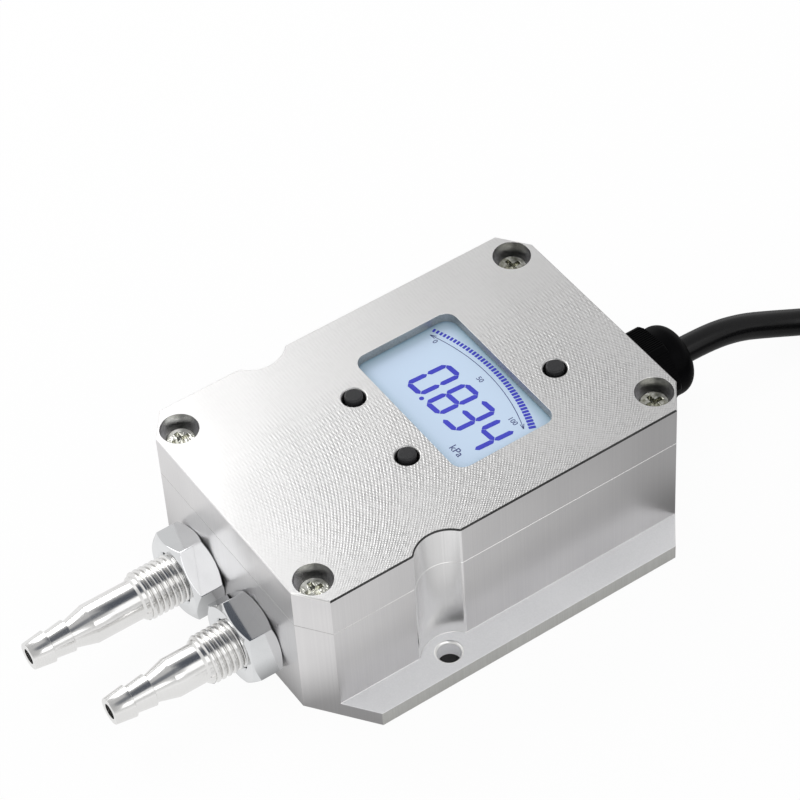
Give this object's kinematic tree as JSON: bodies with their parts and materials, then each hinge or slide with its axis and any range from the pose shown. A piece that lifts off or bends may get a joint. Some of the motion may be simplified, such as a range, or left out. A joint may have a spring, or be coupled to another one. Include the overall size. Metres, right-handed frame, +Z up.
{
  "type": "differential pressure transmitter",
  "caption": "Compact milled aluminium differential pressure transmitter with a display, push keys, hose barbs, side mounting flanges and a cable gland with its lead.",
  "frame": {"origin": "middle of the flat underside of the housing base", "axes": "+Z up towards the display, +Y from the hose ports to the cable gland, +X to the right of someone who reads the display"},
  "size_m": [0.1215, 0.2236, 0.0332],
  "materials": {
    "housing_aluminium": "bare milled aluminium with fine cutter marks, satin",
    "port_nickel": "bright nickel plate on turned metal",
    "nut_steel": "bright zinc plate",
    "screw_steel": "bright plated steel",
    "seal_rubber": "matt black rubber",
    "silicone": "milky soft silicone",
    "display_glass": "liquid crystal glass with a pale blue backlight",
    "light_guide": "white diffusing plastic",
    "frame_black": "moulded black plastic",
    "key_black": "smooth black plastic",
    "tinned_metal": "tinned metal",
    "circuit_board": "green solder mask",
    "chip_black": "black moulded package",
    "can_aluminium": "drawn aluminium can",
    "sensor_white": "ivory moulded plastic",
    "terminal_green": "green moulded plastic",
    "gland_nylon": "black nylon, satin, with fine grip ridges",
    "cable_black": "glossy black cable jacket",
    "tie_nylon": "black nylon band",
    "core_red": "red insulation",
    "core_black": "black insulation"
  },
  "bodies": {
    "root": {"housing_base": "housing_aluminium", "housing_cover": "housing_aluminium", "cover_gasket": "seal_rubber", "cover_screws": "screw_steel", "port_fitting_left": "port_nickel", "port_fitting_right": "port_nickel", "port_nut_left": "nut_steel", "port_nut_right": "nut_steel", "port_seal_left": "seal_rubber", "port_seal_right": "seal_rubber", "impulse_tube_left": "silicone", "impulse_tube_right": "silicone", "display_glass": "display_glass", "display_backlight": "light_guide", "display_frame": "frame_black", "display_pins": "tinned_metal", "display_board": "circuit_board", "display_board_screws": "screw_steel", "key_switch_left": "frame_black", "key_switch_right": "frame_black", "key_switch_rear": "frame_black", "key_domes": "tinned_metal", "key_terminals": "tinned_metal", "main_board": "circuit_board", "main_board_screws": "screw_steel", "main_board_chips": "chip_black", "main_board_capacitors": "can_aluminium", "pressure_sensor": "sensor_white", "sensor_pins": "tinned_metal", "terminal_block": "terminal_green", "terminal_screws": "screw_steel", "inner_core_red": "core_red", "inner_core_black": "core_black", "link_header": "frame_black", "link_pins": "tinned_metal", "link_socket": "frame_black", "gland_washer": "seal_rubber", "gland_body": "gland_nylon", "gland_bush": "seal_rubber", "gland_cap": "gland_nylon", "cable_end_inside": "cable_black", "cable_lead": "cable_black", "cable_coil": "cable_black", "coil_ties": "tie_nylon", "core_red": "core_red", "core_black": "core_black", "core_tips": "tinned_metal"},
    "key_left": {"key_stem_left": "key_black"},
    "key_right": {"key_stem_right": "key_black"},
    "key_rear": {"key_stem_rear": "key_black"}
  },
  "joints": [
    {"name": "key_left_press", "type": "slide", "parent": "root", "child": "key_left", "axis": [0, 0, -1], "range_m": [0, 0.0003], "stiffness_N_per_m": 1000},
    {"name": "key_right_press", "type": "slide", "parent": "root", "child": "key_right", "axis": [0, 0, -1], "range_m": [0, 0.0003], "stiffness_N_per_m": 1000},
    {"name": "key_rear_press", "type": "slide", "parent": "root", "child": "key_rear", "axis": [0, 0, -1], "range_m": [0, 0.0003], "stiffness_N_per_m": 1000}
  ]
}
